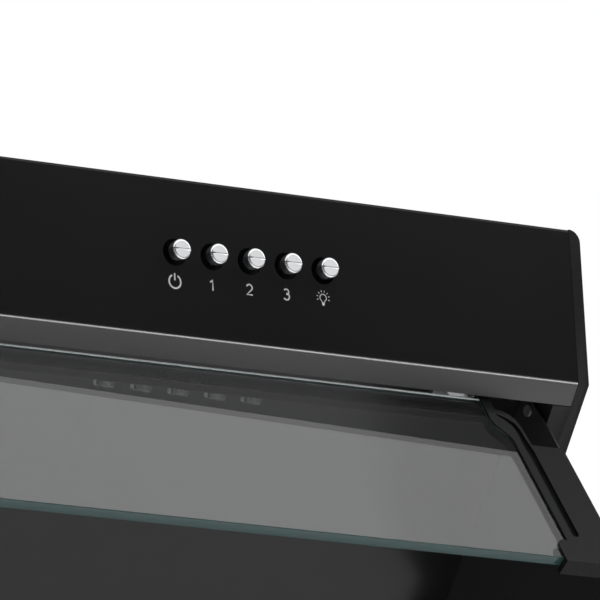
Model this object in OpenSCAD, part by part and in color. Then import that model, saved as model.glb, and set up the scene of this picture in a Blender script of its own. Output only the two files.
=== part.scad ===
// Under cabinet range hood with a fold-out glass visor, millimetres.
// The front faces -Y, the wall is on +Y, and the origin is the centre of the top screw pattern,
// on the top panel's upper face.

/* [Body] */
// Overall width across the end caps
body_w = 600; // [580:5:900]
// Depth from the front panel's face to the wall
body_d = 300; // [295:5:380]
// Overall height without the duct collar
body_h = 200; // [196:1:250]
// Height of the vertical front panel above its bend
front_h = 74; // [70:1:90]
// Angle of the lower front below the horizontal
slant = 52; // [49:1:56]
// Steel sheet of the panels
sheet = 1; // [0.8:0.1:1.2]
// Outer radius of the front panel's lower bend
bend_r = 3; // [2:0.5:5]
// Length of the slanting lip below the bend
lip_len = 11.4; // [8:0.1:13]
// Gap between neighbouring panels
seam = 0.2; // [0.1:0.1:0.4]

/* [End caps] */
// Width of the cap's rim beside the front panel
cap_rim = 5.9; // [4:0.1:8]
// Width of the slanted flange
flange_w = 15.9; // [14:0.1:18]
// Wall of the moulding
cap_wall = 2.5; // [2:0.1:3]
// Radius of the outer top edge
cap_round = 6; // [3:0.5:8]

/* [Recess] */
// How far below the panel bend's level the recess starts
recess_rise = 20.4; // [18:0.1:24]
// Set-back of the recess panel's top behind the front panel's face
recess_back = 10.5; // [10:0.5:13]
// How much flatter the recess panel lies than the flange
recess_ease = 3; // [0:0.5:5]

/* [Visor] */
// Angle of the open visor below the horizontal
visor_open = 56.7; // [52:0.1:62]
// Length of the glass down its slope
glass_len = 105.6; // [80:0.1:108]
// Thickness of the glass
glass_t = 5; // [4:0.5:6]
// Set-back of the hinge axis behind the front panel's face
hinge_back = 15; // [14.5:0.1:17]
// Drop of the hinge axis below the bend
hinge_drop = 7.3; // [7:0.1:9]
// Distance from the hinge axis to the glass's top edge
glass_drop = 4.8; // [4.5:0.1:6]
// Distance from the hinge axis to the glass's front face
glass_rise = 3.4; // [3:0.1:4]
// Set-in of the arm's outer edge from the front panel's end
arm_in = 17.1; // [14:0.1:20]
// Width of the arm
arm_w = 26.5; // [24:0.5:30]
// Thickness of the arm's plate
arm_t = 3; // [2.5:0.5:3.5]
// Thickness of the arm over the glass
arm_cover = 1; // [0.8:0.1:1.4]
// Height of the arm's turned-back rims
arm_rim = 8.3; // [8:0.1:9]
// Width of the rib beside the glass
rib_w = 4.1; // [3.5:0.1:4.5]
// Width of the groove between rib and plate
groove_w = 4.3; // [3:0.1:4.5]
// Gap between the recess panel's edge and the cheek, in which the visor's wing slides
wing_slot = 1.9; // [1.7:0.1:2.2]
// Hinge pin radius
pin_r = 2; // [1.5:0.1:2.5]
// Radial clearance of running fits
run_gap = 0.06; // [0.03:0.01:0.1]

/* [Buttons] */
// Radius of a button cap
btn_r = 4.8; // [4:0.1:5.5]
// How far a cap stands out
btn_out = 6.6; // [5:0.1:7]
// Distance between neighbouring buttons
btn_pitch = 20; // [16:0.5:24]
// Distance from the front panel's end to the nearest button
btn_end = 139.6; // [110:0.1:160]
// Height of the buttons above the bend
btn_up = 39.1; // [36:0.1:44]
// Travel of a button
btn_travel = 3; // [2:0.5:3]
// Radial gap round a cap in the panel
btn_gap = 1.5; // [1:0.1:2]

/* [Air] */
// Outer radius of the duct collar
duct_r = 60; // [50:1:62]
// Height of the duct collar above the top panel
duct_h = 32; // [25:1:50]
// Radius of the impeller
fan_r = 54; // [48:1:58]
// Width of the impeller
fan_w = 64; // [50:1:70]
// Number of impeller blades
fan_blades = 24; // [16:1:36]
// Depth of a grease filter, front to back
filter_d = 140; // [120:1:150]
// Thickness of a grease filter
filter_t = 9; // [7:1:12]

/* [Fixing] */
// Width of the top screw pattern
fix_x = 520; // [400:10:540]
// Depth of the top screw pattern
fix_y = 220; // [180:10:260]
// Radius of the top screw holes
fix_r = 2.75; // [2:0.25:4]
// Width between the wall screw holes
wall_x = 420; // [300:10:480]
// Radius of the wall screw holes
wall_r = 3.5; // [3:0.25:5]

/* [Hidden] */
$fn = 48;
tiny = 0.01;
half_w = body_w / 2;
front_y = -body_d / 2;
wall_y = body_d / 2;
panel_x = half_w - cap_rim;
cheek_x = half_w - flange_w;
slant_len = (body_h - front_h) / sin(slant);
hinge_y = front_y + hinge_back;
hinge_z = -front_h - hinge_drop;
recess_angle = slant - recess_ease;
recess_z = -front_h + recess_rise;
recess_y = front_y + recess_back;
recess_foot_y = recess_y + (recess_z + body_h - sheet) / tan(recess_angle);
recess_x = cheek_x - wing_slot;
tab = 12;
// visor, in its own frame on the hinge axis: x along the axis, y up the glass, z out of its front face
arm_x1 = panel_x - arm_in;
arm_x0 = arm_x1 - arm_w;
glass_x = arm_x0 + rib_w - 0.6;
glass_y1 = -glass_drop;
glass_y0 = glass_y1 - glass_len;
lug_w = 5.4;
lug_x1 = arm_x0 - 1.6;
lug_x0 = lug_x1 - lug_w;
lug_r = 4.2;
ear_t = 1.5;
ear_gap = 0.3;
arm_top = glass_rise + arm_cover;
arm_front = glass_y0 - 3;
plate_top = -35.2;
claw_x = arm_x0 - 6.3;
claw_y = glass_y0 + 11.4;
wing_x1 = cheek_x - 0.5;
wing_x0 = wing_x1 - sheet;
wing_z = arm_top - arm_rim;
wing_flange = 16;
wing_screw_x = arm_x1 - 6;
wing_screw_y = [plate_top - 9.8, (plate_top + arm_front) / 2, arm_front + 14];
// buttons
btn_x = [for (i = [4:-1:0]) panel_x - btn_end - i * btn_pitch];
btn_z = -front_h + btn_up;
stem_r = 3;
block_y0 = front_y + 9;
block_y1 = block_y0 + 22;
block_x0 = btn_x[0] - 15;
block_x1 = btn_x[4] + 15;
block_h = 22;
stem_in = 16;
// blower
scroll_y = 66;
scroll_z = -94;
scroll_w = fan_w + 18;
scroll_r0 = fan_r + 6;
scroll_r1 = fan_r + 26;
scroll_t = 2;
outlet_w = 78;
duct_y = scroll_y - scroll_r1 + outlet_w / 2;
shaft_r = 4;
motor_r = 38;
motor_l = 46;
flap_z = 14;
// filters
filter_y0 = max(wall_y - 6 - filter_d, recess_foot_y + 15);
filter_x0 = 3;
filter_x1 = cheek_x - 42.1;
filter_edge = 20;
filter_z0 = -body_h + 1.2;
mesh_t = filter_t - 4;
filter_pivot_y = wall_y - 6;
filter_pivot_z = filter_z0 + 1.2;
latch_travel = 5;
latch_w = 26;
// lamps
lamp_x = (filter_x1 + cheek_x) / 2 + 1;
lamp_w = 22;
lamp_l = 90;
lamp_y = (filter_y0 + filter_pivot_y) / 2;
// electrics
box_x = cheek_x - 69.1;
box_y = 112;
box_w = 74;
box_d = 52;
box_h = 32;
gland_r = 4.5;

steel_black = "#232323";
moulding = "#2b2c2d";
zinc = "#a9adb0";
steel_bright = "#c9cccd";

// A point of the side section: s along the slanted front from the bend, d inward from its face
function sl(s, d) = [
  front_y + s * cos(slant) + d * sin(slant),
  -front_h - s * sin(slant) + d * cos(slant)
];

// A point on the front of the recess panel at height z, and the same pushed d into the body
function rp(z, d) = [
  recess_y + (recess_z - z) / tan(recess_angle) + d * sin(recess_angle),
  z + d * cos(recess_angle)
];

// Points of an arc
function arc(c, r, a0, a1, n = 6) =
  [for (i = [0:n]) let (a = a0 + (a1 - a0) * i / n) c + r * [cos(a), sin(a)]];

// A side section, given as [y, z] points, run along X from x0 to x1
module yz(x0, x1) {
  translate([x0, 0, 0])
    rotate([90, 0, 90])
      linear_extrude(x1 - x0)
        children();
}

module block(lo, hi) {
  translate(lo) cube(hi - lo);
}

module rod_x(x0, x1, y, z, r) {
  translate([x0, y, z]) rotate([0, 90, 0]) cylinder(h = x1 - x0, r = r);
}

module rod_y(y0, y1, x, z, r) {
  translate([x, y0, z]) rotate([-90, 0, 0]) cylinder(h = y1 - y0, r = r);
}

module both_sides() {
  children();
  mirror([1, 0, 0]) children();
}

// ---- Casing ----

module top_panel() color(steel_black) difference() {
  union() {
    block([-cheek_x + seam, front_y + tab + seam, -sheet], [cheek_x - seam, wall_y, 0]);
    // step under the front panel's return
    block([-cheek_x + seam, front_y + 2 * sheet, -2 * sheet - seam / 2],
          [cheek_x - seam, front_y + tab + sheet, -sheet - seam / 2]);
    block([-cheek_x + seam, front_y + tab + seam, -2 * sheet - seam / 2],
          [cheek_x - seam, front_y + tab + sheet + seam, -tiny]);
  }
  for (x = [-1, 1], y = [-1, 1])
    translate([x * fix_x / 2, y * fix_y / 2, -5]) cylinder(h = 10, r = fix_r);
  translate([0, duct_y, -5]) cylinder(h = 10, r = duct_r - 4);
  translate([box_x, box_y, -5]) cylinder(h = 10, r = gland_r + 2.5);
}

module back_panel() color(steel_black) difference() {
  block([-cheek_x + seam, wall_y - sheet, -body_h + 1.2], [cheek_x - seam, wall_y, -sheet - seam]);
  for (x = [-1, 1]) rod_y(wall_y - 5, wall_y + 5, x * wall_x / 2, -24, wall_r);
}

// Flat face, rounded bend and slanting lip, from one sheet
module front_profile() {
  turn = 90 - slant;
  cz = -front_h + bend_r * tan(turn / 2);
  polygon(concat(
    [[front_y + tab, -sheet], [front_y + tab, 0]],
    arc([front_y + 2, -2], 2, 90, 180),
    arc([front_y + bend_r, cz], bend_r, 180, 180 + turn),
    [sl(lip_len, 0), sl(lip_len, sheet)],
    arc([front_y + bend_r, cz], bend_r - sheet, 180 + turn, 180),
    arc([front_y + 2, -2], 2 - sheet, 180, 90)
  ));
}

module front_panel() color(steel_black) difference() {
  yz(-panel_x + seam, panel_x - seam) front_profile();
  for (x = btn_x) rod_y(front_y - 2, front_y + 2, x, btn_z, btn_r + btn_gap);
}

// Outline of the body's side, drawn in by e
module side_outline(e = 0) {
  polygon([
    [front_y + e, -e],
    [front_y + e, -front_h + e * tan((90 - slant) / 2)],
    [front_y + (slant_len - e / sin(slant)) * cos(slant) + e / sin(slant),
     -body_h + e],
    [wall_y - e, -body_h + e],
    [wall_y - e, -e]
  ]);
}

// Flange, cheek and rims are one moulding with the outer wall
module right_cap_solid() {
  intersection() {
    union() {
      yz(half_w - cap_wall, half_w) side_outline();
      // rim beside the front panel and beside its lip
      yz(panel_x, half_w) polygon([
        [front_y, 0], [front_y, -front_h], sl(lip_len + 2, 0), sl(lip_len + 2, cap_wall),
        [front_y + cap_wall, -front_h + 1], [front_y + cap_wall, 0]
      ]);
      // slanted flange
      yz(cheek_x, half_w) polygon([
        sl(lip_len + 0.4, 0), sl(slant_len, 0), sl(slant_len - 1.5, cap_wall), sl(lip_len + 0.4, cap_wall)
      ]);
      // cheek wall down to the recess panel
      yz(cheek_x, cheek_x + 2) polygon([
        sl(lip_len + 0.4, 0), sl(slant_len, 0),
        rp(-body_h + sheet, -seam), rp(recess_z - sheet, -seam), [front_y + 4, recess_z - sheet - seam],
        [front_y + 4, -front_h + 4], sl(lip_len + 0.4, 2)
      ]);
      // rims under the bottom, up the wall and along the top
      block([cheek_x, sl(slant_len, 0)[0], -body_h], [half_w, wall_y, -body_h + cap_wall]);
      block([cheek_x, wall_y - cap_wall, -body_h], [half_w, wall_y, 0]);
      block([cheek_x, front_y + tab + 0.5, -cap_wall], [half_w, wall_y, 0]);
    }
    // rounded outer top edge
    translate([0, wall_y + 1, 0]) rotate([90, 0, 0]) linear_extrude(body_d + 2) union() {
      translate([0, -body_h - 1]) square([half_w - cap_round, body_h + 1]);
      translate([0, -body_h - 1]) square([half_w, body_h + 1 - cap_round]);
      translate([half_w - cap_round, -cap_round]) circle(cap_round);
    }
  }
}

cap_screw_spots = [[front_y + 30, -25], [wall_y - 25, -25], [wall_y - 25, -body_h + 28],
                   [-20, -body_h + 28]];

module cap_solid_drilled() difference() {
  right_cap_solid();
  for (p = cap_screw_spots) rod_x(half_w - 6, half_w + 6, p[0], p[1], 1.8);
}

module right_end_cap() color(moulding) cap_solid_drilled();
module left_end_cap() color(moulding) mirror([1, 0, 0]) cap_solid_drilled();

side_plate_x = half_w - cap_wall - 0.1;

module side_plate() color(zinc) difference() {
  yz(side_plate_x - sheet, side_plate_x) side_outline(cap_wall + 0.6);
  for (p = cap_screw_spots) rod_x(half_w - 6, half_w + 6, p[0], p[1], 1.5);
}
module right_side_plate() side_plate();
module left_side_plate() mirror([1, 0, 0]) side_plate();

module recess_panel() color(steel_black) difference() {
  yz(-recess_x, recess_x) polygon([
    [front_y + sheet + 0.1, recess_z], [front_y + sheet + 0.1, recess_z - tab],
    [front_y + 2 * sheet + 0.1, recess_z - tab], [front_y + 2 * sheet + 0.1, recess_z - sheet],
    rp(recess_z - sheet, 0), rp(-body_h + sheet + 0.1, 0),
    rp(-body_h + sheet + 0.1, 0) + [10, 0], rp(-body_h + sheet + 0.1, 0) + [10, sheet],
    rp(-body_h + 2 * sheet + 0.1, sheet), rp(recess_z - sheet / 2, sheet) + [0, sheet / 2]
  ]);
  for (x = [-1, 1], dx = foot_holes) translate([x * (lug_x0 + lug_x1) / 2 + dx, 0, 0]) foot_hole();
}

// Holes square to the recess panel for the rivets of a hinge bracket's foot
foot_holes = [-9, 9];
foot_z = hinge_z + 15.5 * cos(recess_angle);
module foot_hole() {
  q = rp(foot_z, 0);
  translate([0, q[0], q[1]]) rotate([-recess_angle, 0, 0])
    translate([0, 0, -4]) cylinder(h = 8, r = 1.5);
}

module bottom_frame() color(steel_black) difference() {
  block([-cheek_x + seam, recess_foot_y + 0.4, -body_h], [cheek_x - seam, wall_y - seam, -body_h + sheet]);
  both_sides() {
    block([filter_x0 - 1.5, filter_y0 - 1.5, -body_h - 1], [filter_x1 + 1.5, filter_pivot_y + 1.5, -body_h + 2]);
    block([(filter_x0 + filter_x1 - latch_w) / 2, filter_y0 - 5, -body_h - 1],
          [(filter_x0 + filter_x1 + latch_w) / 2, filter_y0, -body_h + 2]);
    block([lamp_x - lamp_w / 2, lamp_y - lamp_l / 2, -body_h - 1],
          [lamp_x + lamp_w / 2, lamp_y + lamp_l / 2, -body_h + 2]);
  }
}

// Pan head screws through the cap's wall into the side plate
module cap_screws() color(zinc) both_sides() for (p = cap_screw_spots) {
  rod_x(half_w - 8, half_w, p[0], p[1], 1.5);
  rod_x(half_w, half_w + 1.6, p[0], p[1], 3.2);
}

// ---- Visor ----

module at_visor() {
  translate([0, hinge_y, hinge_z]) rotate([visor_open, 0, 0]) children();
}

// Foot square to the recess panel, two ears reaching out to the hinge axis
module hinge_bracket() color(steel_bright) {
  q = rp(foot_z, 0);
  cx = (lug_x0 + lug_x1) / 2;
  difference() {
    union() {
      translate([cx, q[0], q[1]]) rotate([-recess_angle, 0, 0])
        block([-14, -8, -1.6], [14, 8, -0.05]);
      for (x = [lug_x0 - ear_gap - ear_t, lug_x1 + ear_gap])
        yz(x, x + ear_t) union() {
          translate([hinge_y, hinge_z]) circle(lug_r);
          polygon([
            [hinge_y, hinge_z] + lug_r * [sin(recess_angle - 62), cos(recess_angle - 62)],
            [q[0], q[1]] + 7.5 * [-cos(recess_angle), sin(recess_angle)] - 0.3 * [sin(recess_angle), cos(recess_angle)],
            [q[0], q[1]] - 7.5 * [-cos(recess_angle), sin(recess_angle)] - 0.3 * [sin(recess_angle), cos(recess_angle)],
            [hinge_y, hinge_z] - lug_r * [sin(recess_angle - 90), cos(recess_angle - 90)]
          ]);
        }
    }
    rod_x(cx - 20, cx + 20, hinge_y, hinge_z, pin_r);
    for (dx = foot_holes) translate([cx + dx, 0, 0]) foot_hole();
  }
}
module right_hinge_bracket() hinge_bracket();
module left_hinge_bracket() mirror([1, 0, 0]) hinge_bracket();

module hinge_pins() color(steel_bright) both_sides()
  rod_x(lug_x0 - ear_gap - ear_t - 1, lug_x1 + ear_gap + ear_t + 1, hinge_y, hinge_z, pin_r);

// Thin spring washer between the lug and each ear
module hinge_washers() color(zinc) both_sides()
  for (x = [lug_x0 - ear_gap + 0.05, lug_x1 + 0.1]) difference() {
    rod_x(x, x + ear_gap - 0.15, hinge_y, hinge_z, 3.8);
    rod_x(x - 1, x + 2, hinge_y, hinge_z, pin_r + run_gap);
  }

// Side edge of the glass from the front up, moved out by e; its corner is cut away for the hinge lug
notch_w = 8.3;
notch_y0 = -34;
notch_y1 = -20;
function glass_edge(e) = [for (i = [0:10]) let (k = i / 10)
  [glass_x - notch_w * (1 - cos(180 * k)) / 2 + e, notch_y0 + (notch_y1 - notch_y0) * k]];

// Right side of the pane from the front corner up, and the same points mirrored and turned round
glass_round = 3;
glass_side = concat(
  arc([glass_x - glass_round, glass_y0 + glass_round], glass_round, -90, 0),
  glass_edge(0),
  [[glass_x - notch_w, glass_y1]]
);
function mirrored(points) = [for (i = [len(points) - 1:-1:0]) [-points[i][0], points[i][1]]];

module visor_glass() color("#a8c8c4", 0.4) at_visor()
  translate([0, 0, glass_rise - glass_t]) linear_extrude(glass_t)
    polygon(concat(glass_side, mirrored(glass_side)));

// Outer edge of the arm's curved neck, from the plate up to the lug
neck_outer = [[arm_x0 + 9, plate_top], [arm_x0 + 8.9, -28.5], [arm_x0 + 8.3, -22], [arm_x0 + 7.2, -18.2],
              [arm_x0 + 5.4, -15.5], [arm_x0 + 3, -13.6], [arm_x0 + 0.4, -12.6], [lug_x1, -12.2]];

// Outline of the arm from above: plate, claw round the glass's corner, neck and hinge lug
module arm_outline() polygon(concat(
  [[claw_x, arm_front], [arm_x1, arm_front], [arm_x1, plate_top]],
  neck_outer,
  [[lug_x1, 0], [lug_x0, 0]],
  [for (i = [0:10]) let (k = i / 10)
    [lug_x0 + (arm_x0 - lug_x0) * (1 - cos(180 * k)) / 2, notch_y1 + (notch_y0 - notch_y1) * k]],
  [[arm_x0, claw_y]],
  arc([claw_x + 4, claw_y - 4], 4, 90, 180)
));

// Groove between rib and plate, which narrows as it follows the neck
module arm_groove() {
  x0 = arm_x0 + rib_w;
  x1 = x0 + groove_w;
  mid = (x0 + x1) / 2;
  polygon(concat(
    arc([mid, claw_y + 5], groove_w / 2, 180, 360, 10),
    [[x1, plate_top - 4], [x1 - 1, plate_top + 3], [arm_x0 + 7, -25], [arm_x0 + 5.6, -21],
     [arm_x0 + 2.2, -17.8], [arm_x0 - 2.4, -15.6], [arm_x0 - 2.4, -16.8], [arm_x0 + 0.6, -19],
     [arm_x0 + 3.4, -22.6], [x0 + 0.4, -28], [x0, plate_top]]
  ));
}

module right_arm_solid() at_visor() difference() {
  union() {
    translate([0, 0, arm_top - arm_t]) linear_extrude(arm_t) arm_outline();
    rod_x(lug_x0, lug_x1, 0, 0, lug_r);
    // turned-back rims along the outer edge and the front
    block([arm_x1 - 2, arm_front, wing_z + sheet + 0.05], [arm_x1, plate_top, arm_top]);
    block([claw_x, arm_front, wing_z], [arm_x1, glass_y0 - 0.2, arm_top]);
    // channel wall that holds the glass from behind
    block([arm_x0, glass_y0 - 0.3, glass_rise - glass_t - 1.8],
          [arm_x0 + rib_w + 1.5, plate_top - 1, arm_top - arm_t + tiny]);
    for (y = wing_screw_y) translate([wing_screw_x, y, wing_z + sheet + 0.05])
      cylinder(h = arm_top - arm_t - wing_z - sheet, r = 3.2);
  }
  rod_x(lug_x0 - 1, lug_x1 + 1, 0, 0, pin_r + run_gap);
  translate([0, 0, arm_top - 1.8]) linear_extrude(4) arm_groove();
  for (y = wing_screw_y) translate([wing_screw_x, y, wing_z - 1]) cylinder(h = 6, r = wing_screw_r);
  // slot for the glass and its gasket
  translate([0, 0, glass_rise - glass_t - gasket_t])
    linear_extrude(glass_t + gasket_t + 0.05) polygon(concat(
      [[arm_x0 - 20, glass_y0 - 0.2], [glass_x + 0.3, glass_y0 - 0.2]],
      glass_edge(0.3),
      [[glass_x - notch_w + 0.3, glass_y1 + 0.3], [arm_x0 - 20, glass_y1 + 0.3]]
    ));
}
gasket_t = 0.6;

module right_visor_arm() color(moulding) right_arm_solid();
module left_visor_arm() color(moulding) mirror([1, 0, 0]) right_arm_solid();

// Sheet steel wing that closes the side of the open visor and slides in past the recess panel's edge
wing_r = -arm_front - 1;
wing_back = recess_reach() + 3;
function recess_reach() =
  (recess_y + (recess_z - hinge_z) / tan(recess_angle) - hinge_y) * sin(recess_angle);
wing_turn = 180 - visor_open - recess_angle;
wing_end = wing_turn + asin(wing_back / wing_r);
wing_top = wing_back * [sin(wing_turn), -cos(wing_turn)] + 14 * [-cos(wing_turn), -sin(wing_turn)];
wing_screw_r = 1.1;
stud_y = 4.9;
stud_z = -8.6;

module right_wing_solid() at_visor() difference() {
  union() {
    translate([wing_x0, 0, 0]) rotate([90, 0, 90]) linear_extrude(sheet) polygon(concat(
      [[11, -4], [-14, wing_z + sheet]],
      [for (i = [0:20]) let (a0 = asin(-(wing_z + sheet) / wing_r), a = a0 + (wing_end - a0) * i / 20)
        -wing_r * [cos(a), sin(a)]],
      [wing_top, [17, -9]]
    ));
    block([wing_x1 - wing_flange, glass_y0, wing_z], [wing_x1, plate_top - 4, wing_z + sheet]);
  }
  for (y = wing_screw_y) translate([wing_screw_x, y, wing_z - 1]) cylinder(h = 4, r = wing_screw_r);
  rod_x(wing_x0 - 1, wing_x1 + 1, stud_y, stud_z, 1.6);
}
module right_visor_wing() color(steel_black) right_wing_solid();
module left_visor_wing() color(steel_black) mirror([1, 0, 0]) right_wing_solid();

module wing_screws() color(zinc) both_sides() at_visor() {
  for (y = wing_screw_y) translate([wing_screw_x, y, wing_z]) {
    cylinder(h = 4.4, r = wing_screw_r);
    translate([0, 0, -1.3]) cylinder(h = 1.3, r1 = 1.9, r2 = 2.4);
  }
  // clinched stud beside the hinge
  rod_x(wing_x0, wing_x1, stud_y, stud_z, 1.6);
  rod_x(wing_x0 - 0.8, wing_x0, stud_y, stud_z, 2.8);
}

// Rubber strip behind the glass in each arm's channel
module glass_gaskets() color("#151515") both_sides() at_visor()
  block([arm_x0 + 0.2, glass_y0 + 1, glass_rise - glass_t - gasket_t],
        [glass_x, plate_top - 2, glass_rise - glass_t]);

// ---- Controls ----

module switch_bracket() color(zinc) difference() {
  union() {
    block([block_x0 - 16, front_y + sheet + 0.1, btn_z - block_h / 2 - sheet - 0.1],
          [block_x1 + 16, block_y1 + 2, btn_z - block_h / 2 - 0.1]);
    for (x = [block_x0 - 16, block_x1 + 6])
      block([x, front_y + sheet + 0.1, btn_z - block_h / 2 - sheet - 0.1],
            [x + 10, front_y + 2 * sheet + 0.1, btn_z + block_h / 2]);
  }
  for (x = [block_x0 + 4, block_x1 - 4])
    translate([x, block_y1 - 5, btn_z - block_h / 2 - 5]) cylinder(h = 10, r = 1.5);
}

module switch_block() color("#d8d6cf") difference() {
  block([block_x0, block_y0, btn_z - block_h / 2], [block_x1, block_y1, btn_z + block_h / 2]);
  for (x = btn_x) rod_y(block_y0 - 1, block_y0 + stem_in + btn_travel + 1, x, btn_z, stem_r + run_gap);
}

// Turned cap with a screwdriver-like groove, and its stem
module button(i) color("#d4d6d8") difference() {
  union() {
    rod_y(front_y - btn_out + 0.8, front_y + 4, btn_x[i], btn_z, btn_r);
    translate([btn_x[i], front_y - btn_out, btn_z]) rotate([-90, 0, 0])
      cylinder(h = 0.8, r1 = btn_r - 0.8, r2 = btn_r);
    rod_y(front_y + 4 - tiny, block_y0 + stem_in, btn_x[i], btn_z, stem_r);
  }
  block([btn_x[i] - btn_r - 1, front_y - btn_out - 1, btn_z - 0.35],
        [btn_x[i] + btn_r + 1, front_y - btn_out + 0.5, btn_z + 0.35]);
}

module power_button() button(0);
module speed_1_button() button(1);
module speed_2_button() button(2);
module speed_3_button() button(3);
module light_button() button(4);

// Rings of one coil along y0..y1 round a stem
function coil_pt(t, y0, y1, r) = [r * cos(360 * t), y0 + (y1 - y0) * t / 3, r * sin(360 * t)];
module spring(i) color(steel_bright) {
  y0 = front_y + 4.35;
  y1 = block_y0 - 0.35;
  steps = 48;
  sides = 6;
  wire = 0.3;
  r = stem_r + 0.7;
  pts = [for (k = [0:steps], s = [0:sides - 1])
    let (c = coil_pt(3 * k / steps, y0, y1, r), a = 360 * 3 * k / steps, b = 360 * s / sides)
    [btn_x[i], 0, btn_z] + c + wire * cos(b) * [cos(a), 0, sin(a)] + [0, wire * sin(b), 0]];
  faces = concat(
    [[for (s = [0:sides - 1]) s]],
    [for (k = [0:steps - 1], s = [0:sides - 1])
      [k * sides + s, (k + 1) * sides + s, (k + 1) * sides + (s + 1) % sides, k * sides + (s + 1) % sides]],
    [[for (s = [sides - 1:-1:0]) steps * sides + s]]
  );
  polyhedron(pts, faces, convexity = 8);
}

module power_spring() spring(0);
module speed_1_spring() spring(1);
module speed_2_spring() spring(2);
module speed_3_spring() spring(3);
module light_spring() spring(4);

// ---- Blower ----

scroll_a0 = 75;
scroll_a1 = -180;
function scroll_at(a, e) =
  let (r = scroll_r0 + (scroll_r1 - scroll_r0) * (scroll_a0 - a) / (scroll_a0 - scroll_a1) - e)
  [scroll_y + r * cos(a), scroll_z + r * sin(a)];

// Volute and straight outlet, drawn in by e
module scroll_outline(e, top) polygon(concat(
  [for (i = [0:17]) scroll_at(scroll_a0 + (scroll_a1 - scroll_a0) * i / 17, e)],
  [[scroll_y - scroll_r1 + e, top], [scroll_y - scroll_r1 + outlet_w - e, top],
   [scroll_y - scroll_r1 + outlet_w - e, scroll_z + scroll_r0 - e]]
));

module blower_housing() color(zinc) difference() {
  yz(-scroll_w / 2, scroll_w / 2 - scroll_t) scroll_outline(0, -2.2);
  yz(-scroll_w / 2 + scroll_t, scroll_w / 2) scroll_outline(scroll_t, 5);
  rod_x(-scroll_w, 0, scroll_y, scroll_z, 16);
  for (a = bush_angles) rod_x(-scroll_w, 0, scroll_y + 28 * cos(a), scroll_z + 28 * sin(a), 3);
}
bush_angles = [90, 210, 330];

// Side cover with the bell-mouth of the inlet
module blower_cover() color(zinc) difference() {
  union() {
    yz(scroll_w / 2 - scroll_t + tiny, scroll_w / 2 + tiny) scroll_outline(0, -2.2);
    rod_x(scroll_w / 2 - 6, scroll_w / 2 + 6, scroll_y, scroll_z, fan_r - 8);
  }
  rod_x(scroll_w / 2 - 10, scroll_w / 2 + 10, scroll_y, scroll_z, fan_r - 10);
}

// Grooved rubber bushes in the housing's side wall
module motor_bushes() color("#1a1a1a") for (a = bush_angles) difference() {
  union() {
    rod_x(-scroll_w / 2, -scroll_w / 2 + scroll_t, scroll_y + 28 * cos(a), scroll_z + 28 * sin(a), 3);
    rod_x(-scroll_w / 2 - 3, -scroll_w / 2, scroll_y + 28 * cos(a), scroll_z + 28 * sin(a), 5);
    rod_x(-scroll_w / 2 + scroll_t, -scroll_w / 2 + scroll_t + 2, scroll_y + 28 * cos(a),
          scroll_z + 28 * sin(a), 5);
  }
  rod_x(-scroll_w, 0, scroll_y + 28 * cos(a), scroll_z + 28 * sin(a), 1.5);
}

module motor() color("#8d9194") difference() {
  union() {
    rod_x(-scroll_w / 2 - 3 - motor_l, -scroll_w / 2 - 3, scroll_y, scroll_z, motor_r);
    for (a = bush_angles)
      rod_x(-scroll_w / 2 - 3 - tiny, -scroll_w / 2 + scroll_t + 4, scroll_y + 28 * cos(a),
            scroll_z + 28 * sin(a), 1.5);
  }
  rod_x(-scroll_w / 2 - 10 - motor_l, -scroll_w / 2, scroll_y, scroll_z, shaft_r + run_gap);
  rod_x(-scroll_w / 2 - 3 - motor_l + 8, -scroll_w / 2 - 11, scroll_y, scroll_z, shaft_r + 6);
}

module motor_shaft() color(steel_bright)
  rod_x(-scroll_w / 2 - 3 - motor_l - 4, fan_w / 2 - 12, scroll_y, scroll_z, shaft_r);

module impeller() color("#3a3d40") difference() {
  union() {
    rod_x(-fan_w / 2, -fan_w / 2 + 2, scroll_y, scroll_z, fan_r);
    rod_x(-fan_w / 2, -fan_w / 2 + 24, scroll_y, scroll_z, 9);
    difference() {
      rod_x(fan_w / 2 - 3, fan_w / 2, scroll_y, scroll_z, fan_r);
      rod_x(fan_w / 2 - 4, fan_w / 2 + 1, scroll_y, scroll_z, fan_r - 6);
    }
    for (i = [0:fan_blades - 1])
      translate([0, scroll_y, scroll_z]) rotate([360 * i / fan_blades, 0, 0])
        translate([-fan_w / 2 + 1, fan_r - 5, 0]) rotate([35, 0, 0])
          block([0, -5, -0.5], [fan_w - 2, 5, 0.5]);
  }
  rod_x(-fan_w, fan_w, scroll_y, scroll_z, shaft_r);
}

// Run capacitor strapped to the back panel
module capacitor() color("#e4e4e0") {
  rod_x(120, 172, wall_y - sheet - 15.2, -70, 15);
  rod_x(172, 178, wall_y - sheet - 15.2, -70, 4);
}

module duct_collar() color("#303234") translate([0, duct_y, 0]) difference() {
  union() {
    cylinder(h = duct_h, r = duct_r);
    translate([-duct_r - 8, -duct_r - 8, tiny]) cube([2 * duct_r + 16, 2 * duct_r + 16, 2]);
  }
  translate([0, 0, -1]) cylinder(h = duct_h + 2, r = duct_r - 2);
  rod_x(-duct_r - 5, duct_r + 5, 0, flap_z, spindle_r);
}
spindle_r = 1.5;
flap_r = duct_r - 3.5;

module damper_spindle() color(steel_bright) rod_x(-duct_r + 0.5, duct_r - 0.5, duct_y, flap_z, spindle_r);

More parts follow.
